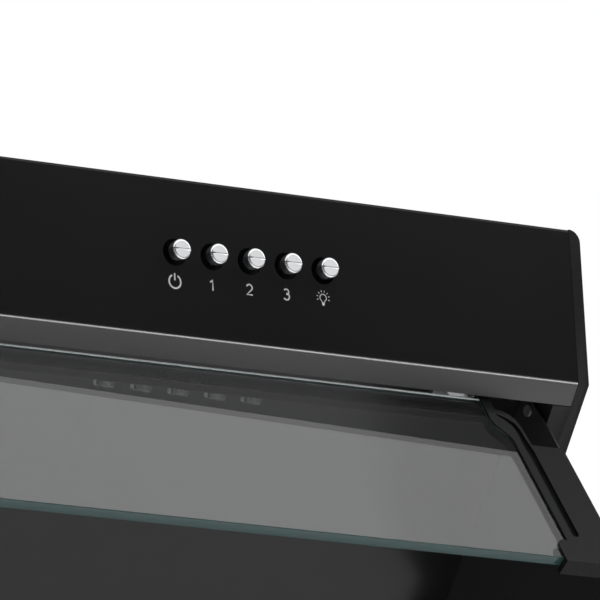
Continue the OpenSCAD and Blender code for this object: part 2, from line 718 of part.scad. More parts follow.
// Half disc with two knuckles round the spindle; k chooses which stretches it takes
module flap(k) color("#303234") translate([0, duct_y, flap_z]) difference() {
  union() {
    intersection() {
      translate([0, 0, -0.5]) cylinder(h = 1, r = flap_r);
      block([-flap_r, k > 0 ? 3.2 : -flap_r, -1], [flap_r, k > 0 ? flap_r : -3.2, 1]);
    }
    for (x = k > 0 ? [-44, 2] : [-22, 24]) {
      rod_x(x, x + 20, 0, 0, 3);
      block([x, k > 0 ? 0 : -4, -0.5], [x + 20, k > 0 ? 4 : 0, 0.5]);
    }
  }
  rod_x(-60, 60, 0, 0, spindle_r + run_gap);
}
module rear_damper_flap() flap(1);
module front_damper_flap() flap(-1);

// ---- Grease filters ----

module filter_frame() color(steel_bright) difference() {
  union() {
    block([filter_x0, filter_y0, filter_z0], [filter_x1, filter_pivot_y, filter_z0 + filter_t]);
    // tabs over the bottom frame's rear edge
    for (x = [filter_x0 + 40, filter_x1 - 60])
      block([x, filter_pivot_y - 1, filter_z0 + 1.4], [x + 20, filter_pivot_y + 4, filter_z0 + 2.6]);
  }
  block([filter_x0 + filter_edge - 6, filter_y0 + filter_edge, filter_z0 - 1],
        [filter_x1 - filter_edge + 6, filter_pivot_y - 12, filter_z0 + filter_t + 1]);
  // pocket and slot of the latch
  block([latch_x - latch_w / 2 - 0.3, filter_y0 + 2, filter_z0 - 1],
        [latch_x + latch_w / 2 + 0.3, filter_y0 + filter_edge - 3, filter_z0 + 4.3]);
  block([latch_x - 8.3, filter_y0 - 1, filter_z0 + 0.4], [latch_x + 8.3, filter_y0 + 3, filter_z0 + 2.6]);
}
latch_x = (filter_x0 + filter_x1) / 2;

module filter_mesh() color("#b9bdbf")
  block([filter_x0 + filter_edge - 6, filter_y0 + filter_edge, filter_z0 + 2],
        [filter_x1 - filter_edge + 6, filter_pivot_y - 12, filter_z0 + 2 + mesh_t]);

// Finger slide with a nose over the bottom frame's edge
module filter_latch() color("#222222") {
  block([latch_x - latch_w / 2, filter_y0 + 2.4, filter_z0],
        [latch_x + latch_w / 2, filter_y0 + 2.4 + 8.5, filter_z0 + 4]);
  block([latch_x - 8, filter_y0 - 2.5, filter_z0 + 0.6], [latch_x + 8, filter_y0 + 3, filter_z0 + 2.4]);
}

module right_filter_frame() filter_frame();
module left_filter_frame() mirror([1, 0, 0]) filter_frame();
module right_filter_mesh() filter_mesh();
module left_filter_mesh() mirror([1, 0, 0]) filter_mesh();
module right_filter_latch() filter_latch();
module left_filter_latch() mirror([1, 0, 0]) filter_latch();

// ---- Lamps and electrics ----

module lamp_body() color("#e9e9e6") difference() {
  block([lamp_x - lamp_w / 2 - 3, lamp_y - lamp_l / 2 - 4, -body_h + sheet + 0.05],
        [lamp_x + lamp_w / 2 + 3, lamp_y + lamp_l / 2 + 4, -body_h + sheet + 14]);
  block([lamp_x - lamp_w / 2, lamp_y - lamp_l / 2, -body_h], [lamp_x + lamp_w / 2, lamp_y + lamp_l / 2, -body_h + sheet + 12]);
}

module lamp_lens() color("#f4f6f6")
  block([lamp_x - lamp_w / 2 + 0.2, lamp_y - lamp_l / 2 + 0.2, -body_h],
        [lamp_x + lamp_w / 2 - 0.2, lamp_y + lamp_l / 2 - 0.2, -body_h + 3]);

module right_lamp_body() lamp_body();
module left_lamp_body() mirror([1, 0, 0]) lamp_body();
module right_lamp_lens() lamp_lens();
module left_lamp_lens() mirror([1, 0, 0]) lamp_lens();

module led_boards() color("#f2f2ee") both_sides() {
  block([lamp_x - lamp_w / 2 + 1, lamp_y - lamp_l / 2 + 1, -body_h + sheet + 10.4],
        [lamp_x + lamp_w / 2 - 1, lamp_y + lamp_l / 2 - 1, -body_h + sheet + 12]);
  for (i = [-3:3])
    block([lamp_x - 1.75, lamp_y + i * 12 - 1.75, -body_h + sheet + 9.6],
          [lamp_x + 1.75, lamp_y + i * 12 + 1.75, -body_h + sheet + 10.4]);
}

module terminal_box() color("#dcdcd8") difference() {
  block([box_x - box_w / 2, box_y - box_d / 2, -sheet - box_h], [box_x + box_w / 2, box_y + box_d / 2, -sheet - 0.05]);
  block([box_x - box_w / 2 + 2, box_y - box_d / 2 + 2, -sheet - box_h - 1],
        [box_x + box_w / 2 - 2, box_y + box_d / 2 - 2, -sheet - 2]);
  translate([box_x, box_y, -10]) cylinder(h = 12, r = gland_r + 2.5);
}

module terminal_lid() color("#c9c9c4")
  block([box_x - box_w / 2, box_y - box_d / 2, -sheet - box_h - 2.05],
        [box_x + box_w / 2, box_y + box_d / 2, -sheet - box_h - 0.05]);

// Bush through the top panel into the terminal box
module cable_gland() color("#1c1c1c") translate([box_x, box_y, 0]) difference() {
  union() {
    translate([0, 0, -9]) cylinder(h = 11, r = gland_r + 2.5);
    translate([0, 0, 0.05]) cylinder(h = 3, r = gland_r + 6);
    translate([0, 0, 3]) cylinder(h = 9, r = gland_r + 2.5);
  }
  translate([0, 0, -10]) cylinder(h = 30, r = gland_r);
}

module lamp_driver() color("#e6e6e2")
  block([24.1 - cheek_x, 60, -sheet - 24], [104.1 - cheek_x, 100, -sheet - 0.05]);

// Clipped wiring from the switch block to the terminal box, a tube swept along a smooth route
wire_r = 3;
wire_route = [
  [block_x1 - 8, block_y1, btn_z + 4], [block_x1 - 8, block_y1 + 10, btn_z + 5],
  [block_x1 - 4, block_y1 + 26, -20], [block_x1 + 10, -70, -9], [box_x - 20, -30, -8],
  [box_x, 20, -8], [box_x, 60, -10], [box_x, box_y - box_d / 2 - 5, -14], [box_x, box_y - box_d / 2 - 0.05, -14]
];
wire_steps = 5;
wire_sides = 10;
function spline(a, b, c, d, t) = 0.5 * ((2 * b) + (c - a) * t + (2 * a - 5 * b + 4 * c - d) * t * t
  + (3 * b - a - 3 * c + d) * t * t * t);
function along(k) =
  let (last = len(wire_route) - 1, i = min(floor(k / wire_steps), last - 1), t = k / wire_steps - i)
  spline(wire_route[max(i - 1, 0)], wire_route[i], wire_route[i + 1], wire_route[min(i + 2, last)], t);
function unit(v) = v / norm(v);

module wire_harness() color("#2b2b2b") {
  n = (len(wire_route) - 1) * wire_steps;
  pts = [for (k = [0:n])
    let (
      d = k == 0 || k == n ? [0, 1, 0] : unit(along(k + 1) - along(k - 1)),
      u = unit(cross(d, [1, 0, 0])),
      v = cross(d, u)
    )
    for (j = [0:wire_sides - 1]) let (a = 360 * j / wire_sides)
      along(k) + wire_r * (cos(a) * u + sin(a) * v)];
  faces = concat(
    [[for (j = [wire_sides - 1:-1:0]) j]],
    [for (k = [0:n - 1], j = [0:wire_sides - 1]) let (m = (j + 1) % wire_sides)
      [k * wire_sides + j, k * wire_sides + m, (k + 1) * wire_sides + m, (k + 1) * wire_sides + j]],
    [[for (j = [0:wire_sides - 1]) n * wire_sides + j]]
  );
  polyhedron(pts, faces, convexity = 8);
}

top_panel();
back_panel();
front_panel();
left_end_cap();
right_end_cap();
left_side_plate();
right_side_plate();
recess_panel();
bottom_frame();
cap_screws();
left_hinge_bracket();
right_hinge_bracket();
hinge_pins();
hinge_washers();
visor_glass();
left_visor_arm();
right_visor_arm();
left_visor_wing();
right_visor_wing();
wing_screws();
glass_gaskets();
switch_bracket();
switch_block();
power_button();
speed_1_button();
speed_2_button();
speed_3_button();
light_button();
power_spring();
speed_1_spring();
speed_2_spring();
speed_3_spring();
light_spring();
blower_housing();
blower_cover();
motor_bushes();
motor();
motor_shaft();
impeller();
capacitor();
duct_collar();
damper_spindle();
front_damper_flap();
rear_damper_flap();
left_filter_frame();
right_filter_frame();
left_filter_mesh();
right_filter_mesh();
left_filter_latch();
right_filter_latch();
left_lamp_body();
right_lamp_body();
left_lamp_lens();
right_lamp_lens();
led_boards();
terminal_box();
terminal_lid();
cable_gland();
lamp_driver();
wire_harness();
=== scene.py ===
from math import cos, pi, radians, sin, tan

import bmesh
import bpy
from mathutils import Euler, Matrix, Quaternion, Vector


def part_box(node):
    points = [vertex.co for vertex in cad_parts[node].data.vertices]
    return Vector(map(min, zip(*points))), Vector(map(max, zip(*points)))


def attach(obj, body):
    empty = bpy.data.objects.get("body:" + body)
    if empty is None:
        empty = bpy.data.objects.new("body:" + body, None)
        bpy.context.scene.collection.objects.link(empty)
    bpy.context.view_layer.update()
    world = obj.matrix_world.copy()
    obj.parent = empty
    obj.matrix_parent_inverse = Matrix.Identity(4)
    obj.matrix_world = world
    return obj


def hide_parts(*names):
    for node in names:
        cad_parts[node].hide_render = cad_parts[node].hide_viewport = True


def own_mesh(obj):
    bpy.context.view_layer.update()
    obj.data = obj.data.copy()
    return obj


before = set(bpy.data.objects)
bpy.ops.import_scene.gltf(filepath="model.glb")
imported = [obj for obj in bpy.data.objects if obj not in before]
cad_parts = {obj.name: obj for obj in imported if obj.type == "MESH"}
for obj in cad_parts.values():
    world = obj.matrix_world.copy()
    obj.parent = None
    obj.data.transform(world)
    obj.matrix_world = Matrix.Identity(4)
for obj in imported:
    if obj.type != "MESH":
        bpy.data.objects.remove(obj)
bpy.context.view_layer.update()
bpy.ops.object.select_all(action="DESELECT")
MM = 0.001

# ---- Camera ----
# A long lens from below on the left, tipped a little to one side.
camera_at = Vector((-1.9677, -3.2163, -1.0506))
camera_turn = 34.517
camera_lift = 15.049
camera_tip = -3.133
camera_data = bpy.data.cameras.new("camera")
camera_data.sensor_width = 36
camera_data.lens = 511.8
camera_data.clip_end = 100
camera = bpy.data.objects.new("camera", camera_data)
bpy.context.scene.collection.objects.link(camera)
camera.rotation_mode = "QUATERNION"
camera.location = camera_at
camera.rotation_quaternion = (
    Euler((radians(90 + camera_lift), 0, radians(-camera_turn))).to_quaternion()
    @ Quaternion((0, 0, 1), radians(camera_tip))
)
bpy.context.scene.camera = camera
bpy.context.scene.view_settings.view_transform = "Standard"

# ---- Studio ----
# A pale floor well under the hood, a white surround with a darker band at eye level in front, and a
# broad light overhead.
bpy.ops.mesh.primitive_plane_add(size=14, location=(0, 0, -1.7))
floor = bpy.context.object
floor.name = "floor"
floor_paint = bpy.data.materials.new("floor_paint")
floor_paint.use_nodes = True
floor_shader = floor_paint.node_tree.nodes["Principled BSDF"]
floor_shader.inputs["Base Color"].default_value = (0.82, 0.82, 0.83, 1)
floor_shader.inputs["Roughness"].default_value = 0.9
n, k = floor_paint.node_tree.nodes, floor_paint.node_tree.links
seen = n.new("ShaderNodeLightPath")
lift = n.new("ShaderNodeMath")
lift.operation = "MULTIPLY"
lift.inputs[1].default_value = 0.62
k.new(seen.outputs["Is Camera Ray"], lift.inputs[0])
k.new(lift.outputs[0], floor_shader.inputs["Emission Strength"])
floor_shader.inputs["Emission Color"].default_value = (1, 1, 1, 1)
under = n.new("ShaderNodeNewGeometry")
clear = n.new("ShaderNodeBsdfTransparent")
either = n.new("ShaderNodeMixShader")
k.new(under.outputs["Backfacing"], either.inputs["Fac"])
k.new(floor_shader.outputs[0], either.inputs[1])
k.new(clear.outputs[0], either.inputs[2])
k.new(either.outputs[0], n["Material Output"].inputs["Surface"])
floor.data.materials.append(floor_paint)

world = bpy.data.worlds.new("surround")
bpy.context.scene.world = world
world.use_nodes = True
nodes, links = world.node_tree.nodes, world.node_tree.links
nodes.clear()
place = nodes.new("ShaderNodeTexCoord")
split = nodes.new("ShaderNodeSeparateXYZ")
ramp = nodes.new("ShaderNodeValToRGB")
shift = nodes.new("ShaderNodeMath")
shift.operation = "MULTIPLY_ADD"
shift.inputs[1].default_value = 0.5
shift.inputs[2].default_value = 0.5
links.new(place.outputs["Generated"], split.inputs[0])
links.new(split.outputs["Z"], shift.inputs[0])
links.new(shift.outputs[0], ramp.inputs["Fac"])
surround = [(0.0, 0.9), (0.30, 0.9), (0.40, 0.75), (0.46, 0.24), (0.58, 0.1), (0.72, 0.08), (1.0, 0.16)]
ramp.color_ramp.elements.remove(ramp.color_ramp.elements[0])
ramp.color_ramp.elements[0].position = surround[0][0]
ramp.color_ramp.elements[0].color = (surround[0][1],) * 3 + (1,)
for at, level in surround[1:]:
    stop = ramp.color_ramp.elements.new(at)
    stop.color = (level, level, level * 1.01, 1)
studio = nodes.new("ShaderNodeBackground")
paper = nodes.new("ShaderNodeBackground")
paper.inputs["Color"].default_value = (1, 1, 1, 1)
links.new(ramp.outputs["Color"], studio.inputs["Color"])
path = nodes.new("ShaderNodeLightPath")
mix = nodes.new("ShaderNodeMixShader")
links.new(path.outputs["Is Camera Ray"], mix.inputs["Fac"])
links.new(studio.outputs[0], mix.inputs[1])
links.new(paper.outputs[0], mix.inputs[2])
out = nodes.new("ShaderNodeOutputWorld")
links.new(mix.outputs[0], out.inputs["Surface"])


def area_light(name, at, size, radiance, turn):
    """A rectangular softbox, turned from facing straight down by three angles in degrees."""
    data = bpy.data.lights.new(name, "AREA")
    data.shape = "RECTANGLE"
    data.size, data.size_y = size
    data.energy = radiance * pi * size[0] * size[1]
    lamp = bpy.data.objects.new(name, data)
    bpy.context.scene.collection.objects.link(lamp)
    lamp.location = at
    lamp.rotation_euler = [radians(angle) for angle in turn]
    lamp.visible_camera = False
    return lamp


def light_only(lamp, pieces):
    """Keeps a lamp's light to a few pieces, as a small flag or snoot does."""
    lit = bpy.data.collections.new(lamp.name + "_lit")
    for piece in pieces:
        lit.objects.link(piece)
    lamp.light_linking.receiver_collection = lit


area_light("overhead", (0.6, -1.163, 0.9), (5.0, 1.8), 1.0, (0, 0, -1.6))
area_light("under_fill", (0.9, -1.6, -0.4), (4.0, 2.4), 2.2, (0, 0, 0))

# ---- Front panel ----
# One sheet of 1 mm steel, powder coated satin black: a tall flat face, a return along the top, and a
# short lip below a rounded bend. Five holes take the push buttons.
slant = radians(52)
lip = 11.4 * MM
sheet = 1 * MM


def pick(piece, kind, wanted):
    """Selects the vertices, edges or faces of a piece in edit mode whose every corner is wanted."""
    bpy.context.view_layer.objects.active = piece
    if piece.mode != "EDIT":
        bpy.ops.object.mode_set(mode="EDIT")
    bpy.ops.mesh.select_mode(type=kind)
    bpy.ops.mesh.select_all(action="DESELECT")
    mesh = bmesh.from_edit_mesh(piece.data)
    for part in {"VERT": mesh.verts, "EDGE": mesh.edges, "FACE": mesh.faces}[kind]:
        corners = [part.co] if kind == "VERT" else [v.co for v in part.verts]
        if all(wanted(c) for c in corners):
            part.select_set(True)
    mesh.select_flush_mode()
    bmesh.update_edit_mesh(piece.data)


def use(piece, kind, **settings):
    """Adds a modifier and applies it."""
    bpy.ops.object.select_all(action="DESELECT")
    bpy.context.view_layer.objects.active = piece
    piece.select_set(True)
    modifier = piece.modifiers.new(kind.lower(), kind)
    for key, value in settings.items():
        setattr(modifier, key, value)
    bpy.ops.object.modifier_apply(modifier=modifier.name)


def settle(piece, name):
    """Leaves edit mode and moves the piece's place into its mesh."""
    bpy.ops.object.mode_set(mode="OBJECT")
    bpy.ops.object.select_all(action="DESELECT")
    bpy.context.view_layer.objects.active = piece
    piece.select_set(True)
    bpy.ops.object.transform_apply(location=True, rotation=True, scale=True)
    piece.name = name
    return piece


def smooth(piece, angle=35):
    bpy.ops.object.select_all(action="DESELECT")
    bpy.context.view_layer.objects.active = piece
    piece.select_set(True)
    bpy.ops.object.shade_smooth_by_angle(angle=radians(angle))


def fit(piece, body, slot, material, *cad_nodes):
    """Hangs a finished piece on its body in place of its plain CAD nodes."""
    if material is not None:
        piece.data.materials.clear()
        piece.data.materials.append(material)
    if cad_nodes:
        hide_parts(*cad_nodes)
    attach(piece, body)


def surface_group():
    """Fine grain and slow cloudiness, from Object coordinates."""
    group = bpy.data.node_groups.new("surface_grain", "ShaderNodeTree")
    for name, value in (("Grain Scale", 900.0), ("Cloud Scale", 7.0), ("Rough Low", 0.4),
                        ("Rough High", 0.5)):
        socket = group.interface.new_socket(name, in_out="INPUT", socket_type="NodeSocketFloat")
        socket.default_value = value
    for name in ("Tone A", "Tone B"):
        group.interface.new_socket(name, in_out="INPUT", socket_type="NodeSocketColor")
    group.interface.new_socket("Color", in_out="OUTPUT", socket_type="NodeSocketColor")
    group.interface.new_socket("Roughness", in_out="OUTPUT", socket_type="NodeSocketFloat")
    group.interface.new_socket("Height", in_out="OUTPUT", socket_type="NodeSocketFloat")
    n, k = group.nodes, group.links
    given, made = n.new("NodeGroupInput"), n.new("NodeGroupOutput")
    spot = n.new("ShaderNodeTexCoord")
    grain = n.new("ShaderNodeTexNoise")
    grain.inputs["Detail"].default_value = 3
    cloud = n.new("ShaderNodeTexNoise")
    cloud.inputs["Detail"].default_value = 4
    for texture, socket in ((grain, "Grain Scale"), (cloud, "Cloud Scale")):
        k.new(spot.outputs["Object"], texture.inputs["Vector"])
        k.new(given.outputs[socket], texture.inputs["Scale"])
    both = n.new("ShaderNodeMath")
    both.operation = "MULTIPLY_ADD"
    both.inputs[1].default_value = 0.35
    k.new(grain.outputs["Fac"], both.inputs[0])
    k.new(cloud.outputs["Fac"], both.inputs[2])
    tone = n.new("ShaderNodeMix")
    tone.data_type = "RGBA"
    k.new(both.outputs[0], tone.inputs[0])
    k.new(given.outputs["Tone A"], tone.inputs[6])
    k.new(given.outputs["Tone B"], tone.inputs[7])
    k.new(tone.outputs[2], made.inputs["Color"])
    rough = n.new("ShaderNodeMapRange")
    k.new(cloud.outputs["Fac"], rough.inputs["Value"])
    rough.inputs["From Min"].default_value = 0.3
    rough.inputs["From Max"].default_value = 0.7
    k.new(given.outputs["Rough Low"], rough.inputs["To Min"])
    k.new(given.outputs["Rough High"], rough.inputs["To Max"])
    k.new(rough.outputs[0], made.inputs["Roughness"])
    k.new(grain.outputs["Fac"], made.inputs["Height"])
    return group


grain_group = surface_group()


def finish(name, tone_a, tone_b, rough, grain=900.0, cloud=7.0, bump=0.05, depth=0.02 * MM, metallic=0.0,
           specular=0.5, **sockets):
    """A material with the shared grain; its steady values sit on the shader's own sockets."""
    material = bpy.data.materials.new(name)
    material.use_nodes = True
    n, k = material.node_tree.nodes, material.node_tree.links
    shader = n["Principled BSDF"]
    grained = n.new("ShaderNodeGroup")
    grained.node_tree = grain_group
    grained.inputs["Grain Scale"].default_value = grain
    grained.inputs["Cloud Scale"].default_value = cloud
    grained.inputs["Rough Low"].default_value = rough[0]
    grained.inputs["Rough High"].default_value = rough[1]
    grained.inputs["Tone A"].default_value = (*tone_a, 1)
    grained.inputs["Tone B"].default_value = (*tone_b, 1)
    k.new(grained.outputs["Color"], shader.inputs["Base Color"])
    k.new(grained.outputs["Roughness"], shader.inputs["Roughness"])
    bumped = n.new("ShaderNodeBump")
    bumped.inputs["Strength"].default_value = bump
    bumped.inputs["Distance"].default_value = depth
    k.new(grained.outputs["Height"], bumped.inputs["Height"])
    k.new(bumped.outputs[0], shader.inputs["Normal"])
    shader.inputs["Metallic"].default_value = metallic
    shader.inputs["Specular IOR Level"].default_value = specular
    for socket, value in sockets.items():
        shader.inputs[socket.replace("_", " ")].default_value = value
    return material


black_coat = finish("black_powder_coat", (0.0062, 0.0062, 0.0065), (0.0085, 0.0085, 0.009), (0.23, 0.28),
                    grain=1400, cloud=5, bump=0.2, specular=0.3)

low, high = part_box("front_panel")
face_y, top_z = low.y, high.z
bend_z = low.z + lip * sin(slant)
return_depth = high.y - low.y
bpy.ops.mesh.primitive_plane_add(size=1, location=(0, face_y, (top_z + bend_z) / 2), rotation=(pi / 2, 0, 0))
panel = bpy.context.object
panel.scale = (high.x - low.x, top_z - bend_z, 1)
settle(panel, "front_face")
pick(panel, "EDGE", lambda c: c.z > top_z - 1e-5)
bpy.ops.mesh.extrude_region_move(TRANSFORM_OT_translate={"value": (0, return_depth, 0)})
pick(panel, "EDGE", lambda c: c.z < bend_z + 1e-5)
bpy.ops.mesh.extrude_region_move(TRANSFORM_OT_translate={"value": (0, lip * cos(slant), -lip * sin(slant))})
pick(panel, "EDGE", lambda c: abs(c.z - bend_z) < 1e-5)
bpy.ops.mesh.bevel(offset=3 * MM * tan((pi / 2 - slant) / 2), segments=10, profile=0.5)
pick(panel, "EDGE", lambda c: abs(c.z - top_z) < 1e-5 and c.y < face_y + 1e-5)
bpy.ops.mesh.bevel(offset=1.6 * MM, segments=6, profile=0.5)
bpy.ops.mesh.select_all(action="SELECT")
bpy.ops.mesh.normals_make_consistent(inside=False)
settle(panel, "front_face")
if min(panel.data.polygons, key=lambda f: f.center.y).normal.y > 0:
    bpy.ops.object.mode_set(mode="EDIT")
    bpy.ops.mesh.select_all(action="SELECT")
    bpy.ops.mesh.flip_normals()
    bpy.ops.object.mode_set(mode="OBJECT")
use(panel, "SOLIDIFY", thickness=sheet, offset=-1)

buttons = ["power_button", "speed_1_button", "speed_2_button", "speed_3_button", "light_button"]
hole_gap = 1.5 * MM
cap_radius = (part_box("power_button")[1].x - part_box("power_button")[0].x) / 2
button_at = []
for node in buttons:
    b0, b1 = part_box(node)
    button_at.append(Vector(((b0.x + b1.x) / 2, b0.y, (b0.z + b1.z) / 2)))
for at in button_at:
    bpy.ops.mesh.primitive_cylinder_add(vertices=64, radius=cap_radius + hole_gap, depth=10 * MM,
                                        location=(at.x, face_y, at.z), rotation=(pi / 2, 0, 0))
    cutter = bpy.context.object
    use(panel, "BOOLEAN", operation="DIFFERENCE", object=cutter, solver="EXACT")
    bpy.data.objects.remove(cutter)
use(panel, "BEVEL", width=0.25 * MM, segments=2, limit_method="ANGLE", angle_limit=radians(50))
flat_from = bend_z + 3 * MM * tan((pi / 2 - slant) / 2)
pick(panel, "FACE", lambda c: c.z < flat_from + 0.02 * MM)
bpy.ops.mesh.separate(type="SELECTED")
bpy.ops.object.mode_set(mode="OBJECT")
lower = [piece for piece in bpy.context.selected_objects if piece is not panel][0]
lower.name = "front_lip"
for piece in (panel, lower):
    smooth(piece)
    use(piece, "WEIGHTED_NORMAL", keep_sharp=True, weight=80)
fit(panel, "casing", "black_steel", black_coat, "front_panel")
fit(lower, "casing", "black_steel", black_coat)
light_only(area_light("bend_strip", (2.0, -2.9, -0.95), (3.4, 0.7), 30.0, (75, 0, 38)), [lower])
light_only(area_light("lip_fill", (0.75, -0.28, -1.15), (2.6, 1.2), 1.5, (180, 0, 0)), [lower])

# ---- Push buttons ----
# Five chromed brass caps turned on a lathe, each with fine rings on its face, a rounded rim and a shallow
# slot across it, on a plain stem that runs back into the switch block.
chrome = finish("turned_chrome", (0.8, 0.81, 0.82), (0.86, 0.87, 0.88), (0.07, 0.12), cloud=60,
                metallic=1.0)
cap_depth = 10.6 * MM
rim_round = 0.9 * MM
ring_pitch = 0.26 * MM
ring_rise = 0.022 * MM
stem_radius = 3 * MM
slot_half = 0.34 * MM


def select_only(piece):
    bpy.ops.object.select_all(action="DESELECT")
    bpy.context.view_layer.objects.active = piece
    piece.select_set(True)


def join(pieces, name):
    """Joins finished pieces into the first."""
    select_only(pieces[0])
    for piece in pieces[1:]:
        piece.select_set(True)
    if len(pieces) > 1:
        bpy.ops.object.join()
    pieces[0].name = name
    return pieces[0]


first = button_at[0]
bpy.ops.object.select_all(action="DESELECT")
bpy.ops.mesh.primitive_cylinder_add(vertices=64, radius=cap_radius, depth=cap_depth, rotation=(pi / 2, 0, 0),
                                    location=(first.x, first.y + cap_depth / 2, first.z))
cap = settle(bpy.context.object, "button_cap")
pick(cap, "EDGE", lambda c: c.y < first.y + 1e-6)
bpy.ops.mesh.bevel(offset=rim_round, segments=5, profile=0.5)
pick(cap, "FACE", lambda c: c.y < first.y + 1e-6)
for ring in range(13):
    bpy.ops.mesh.inset(thickness=ring_pitch, depth=0)
    bpy.ops.transform.translate(value=(0, ring_rise if ring % 2 else -ring_rise * 1.3, 0))
settle(cap, "button_cap")
bpy.ops.mesh.primitive_cube_add(size=1, location=(first.x, first.y, first.z))
slot_cutter = bpy.context.object
slot_cutter.scale = (4 * cap_radius, 0.9 * MM, 2 * slot_half)
use(cap, "BOOLEAN", operation="DIFFERENCE", object=slot_cutter, solver="EXACT")
bpy.data.objects.remove(slot_cutter)
use(cap, "BEVEL", width=0.08 * MM, segments=2, limit_method="ANGLE", angle_limit=radians(55))
stem_from, stem_to = first.y + cap_depth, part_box("power_button")[1].y
bpy.ops.object.select_all(action="DESELECT")
bpy.ops.mesh.primitive_cylinder_add(vertices=32, radius=stem_radius, depth=stem_to - stem_from + 0.5 * MM,
                                    rotation=(pi / 2, 0, 0),
                                    location=(first.x, (stem_from + stem_to - 0.5 * MM) / 2, first.z))
stem = settle(bpy.context.object, "button_stem")
use(stem, "BEVEL", width=0.4 * MM, segments=2, limit_method="ANGLE", angle_limit=radians(50))
cap = join([cap, stem], "power_cap")
keys = ["power", "speed_1", "speed_2", "speed_3", "light"]
for key, at in zip(keys, button_at):
    made = cap if key == "power" else cap.copy()
    if made is not cap:
        made.data = cap.data.copy()
        bpy.context.scene.collection.objects.link(made)
        made.data.transform(Matrix.Translation(at - first))
        made.name = f"{key}_cap"
caps = [bpy.data.objects[f"{key}_cap"] for key in keys]
for key, made in zip(keys, caps):
    smooth(made, 30)
    made.visible_glossy = False
    fit(made, f"{key}_key", "button_chrome", chrome, f"{key}_button")
light_only(area_light("cap_front", (1.5, -1.7, 0.55), (1.6, 1.1), 0.7, (62, 0, 36)), caps)

# ---- Button signs ----
# Pale grey signs printed under the buttons: a power sign, the speeds 1 to 3 and a lit bulb.
sign_ink = finish("sign_ink", (0.72, 0.72, 0.72), (0.8, 0.8, 0.8), (0.5, 0.6), cloud=90, specular=0.3)
sign_z = bend_z + 25.8 * MM
sign_y = face_y
sign_shift = 0.7 * MM
figure_size = 1.1
print_thick = 0.03 * MM


def stroke(points, width, x, z):
    """A flat printed line through points given in millimetres round a centre."""
    data = bpy.data.curves.new("sign_line", "CURVE")
    data.dimensions = "3D"
    data.bevel_depth = width / 2 * MM
    data.bevel_resolution = 2
    data.use_fill_caps = True
    line = data.splines.new("POLY")
    line.points.add(len(points) - 1)
    for point, (across, up) in zip(line.points, points):
        point.co = (across * MM, 0, up * MM, 1)
    piece = bpy.data.objects.new("sign_line", data)
    bpy.context.scene.collection.objects.link(piece)
    select_only(piece)
    bpy.ops.object.convert(target="MESH")
    piece.scale = (1, print_thick / (width / 2 * MM), 1)
    piece.location = (x - sign_shift, sign_y, z)
    return settle(piece, "sign_line")


def around(radius, start, end, steps, up=0.0):
    """Points of an arc, its angles in degrees anticlockwise from the right."""
    return [(radius * cos(radians(start + (end - start) * i / steps)),
             up + radius * sin(radians(start + (end - start) * i / steps))) for i in range(steps + 1)]


signs = []
x = button_at[0].x
signs.append(stroke(around(3.1, 118, 422, 40, -0.35), 0.85, x, sign_z))
signs.append(stroke([(0, 0.2), (0, 3.55)], 0.85, x, sign_z))
figures = [
    [[(-1.0, 1.25), (-0.35, 1.6), (0.25, 2.25), (0.25, -2.3)]],
    [around(1.35, 160, -38, 16, 0.95) + [(-1.4, -2.05), (1.5, -2.05)]],
    [around(1.15, 150, -85, 14, 1.12) + around(1.4, 78, -152, 16, -0.88)],
]
for lines, at in zip(figures, button_at[1:4]):
    for line in lines:
        signs.append(stroke([(figure_size * a, figure_size * b) for a, b in line], 0.72, at.x, sign_z))
x = button_at[4].x
bulb = [(-0.75, -1.5), (-0.85, -0.9)] + around(1.75, 205, -25, 22, 0.45) + [(0.85, -0.9), (0.75, -1.5)]
signs.append(stroke(bulb, 0.42, x, sign_z))
for up in (-1.75, -2.2, -2.65):
    signs.append(stroke([(-0.72, up), (0.72, up)], 0.5, x, sign_z))
signs.append(stroke([(-0.3, -3.05), (0.3, -3.05)], 0.4, x, sign_z))
for turn in range(-15, 196, 30):
    way = (cos(radians(turn)), sin(radians(turn)))
    signs.append(stroke([(2.75 * way[0], 0.45 + 2.75 * way[1]), (3.6 * way[0], 0.45 + 3.6 * way[1])],
                        0.38, x, sign_z))
signs = join(signs, "button_signs")
fit(signs, "casing", "switch_plastic", sign_ink)

# ---- Recess panel ----
# A plain slanted sheet behind the visor, folded forward at the top to the back of the front panel.


def eased(node, name, body, slot, material, width=0.4 * MM, angle=40, segments=2, weld=1e-6,
          weighted=True):
    """A copy of a CAD node with its doubles merged and its sharp edges eased, which takes its place."""
    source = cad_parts[node]
    piece = bpy.data.objects.new(name, source.data.copy())
    bpy.context.scene.collection.objects.link(piece)
    bpy.ops.object.select_all(action="DESELECT")
    bpy.context.view_layer.objects.active = piece
    piece.select_set(True)
    bpy.ops.object.mode_set(mode="EDIT")
    bpy.ops.mesh.select_all(action="SELECT")
    bpy.ops.mesh.remove_doubles(threshold=weld)
    bpy.ops.mesh.dissolve_limited(angle_limit=radians(0.5))
    bpy.ops.object.mode_set(mode="OBJECT")
    if width:
        use(piece, "BEVEL", width=width, segments=segments, limit_method="ANGLE", angle_limit=radians(angle),
            use_clamp_overlap=True)
    smooth(piece)
    if weighted:
        use(piece, "WEIGHTED_NORMAL", keep_sharp=True, weight=80)
    fit(piece, body, slot, material, node)
    return piece


eased("recess_panel", "recess_sheet", "casing", "black_steel", black_coat, width=0.2 * MM)

# ---- End caps ----
# Textured black mouldings over the steel sides: a rim beside the front panel, a flange down the slant and
# an inner cheek.
cap_mould = finish("textured_cap_moulding", (0.008, 0.0082, 0.0086), (0.012, 0.0122, 0.0126), (0.46, 0.56),
                   grain=2600, cloud=9, bump=0.4, depth=0.03 * MM, specular=0.3)
for side in ("left", "right"):
    eased(f"{side}_end_cap", f"{side}_cap", "casing", "cap_plastic", cap_mould, width=0.5 * MM)

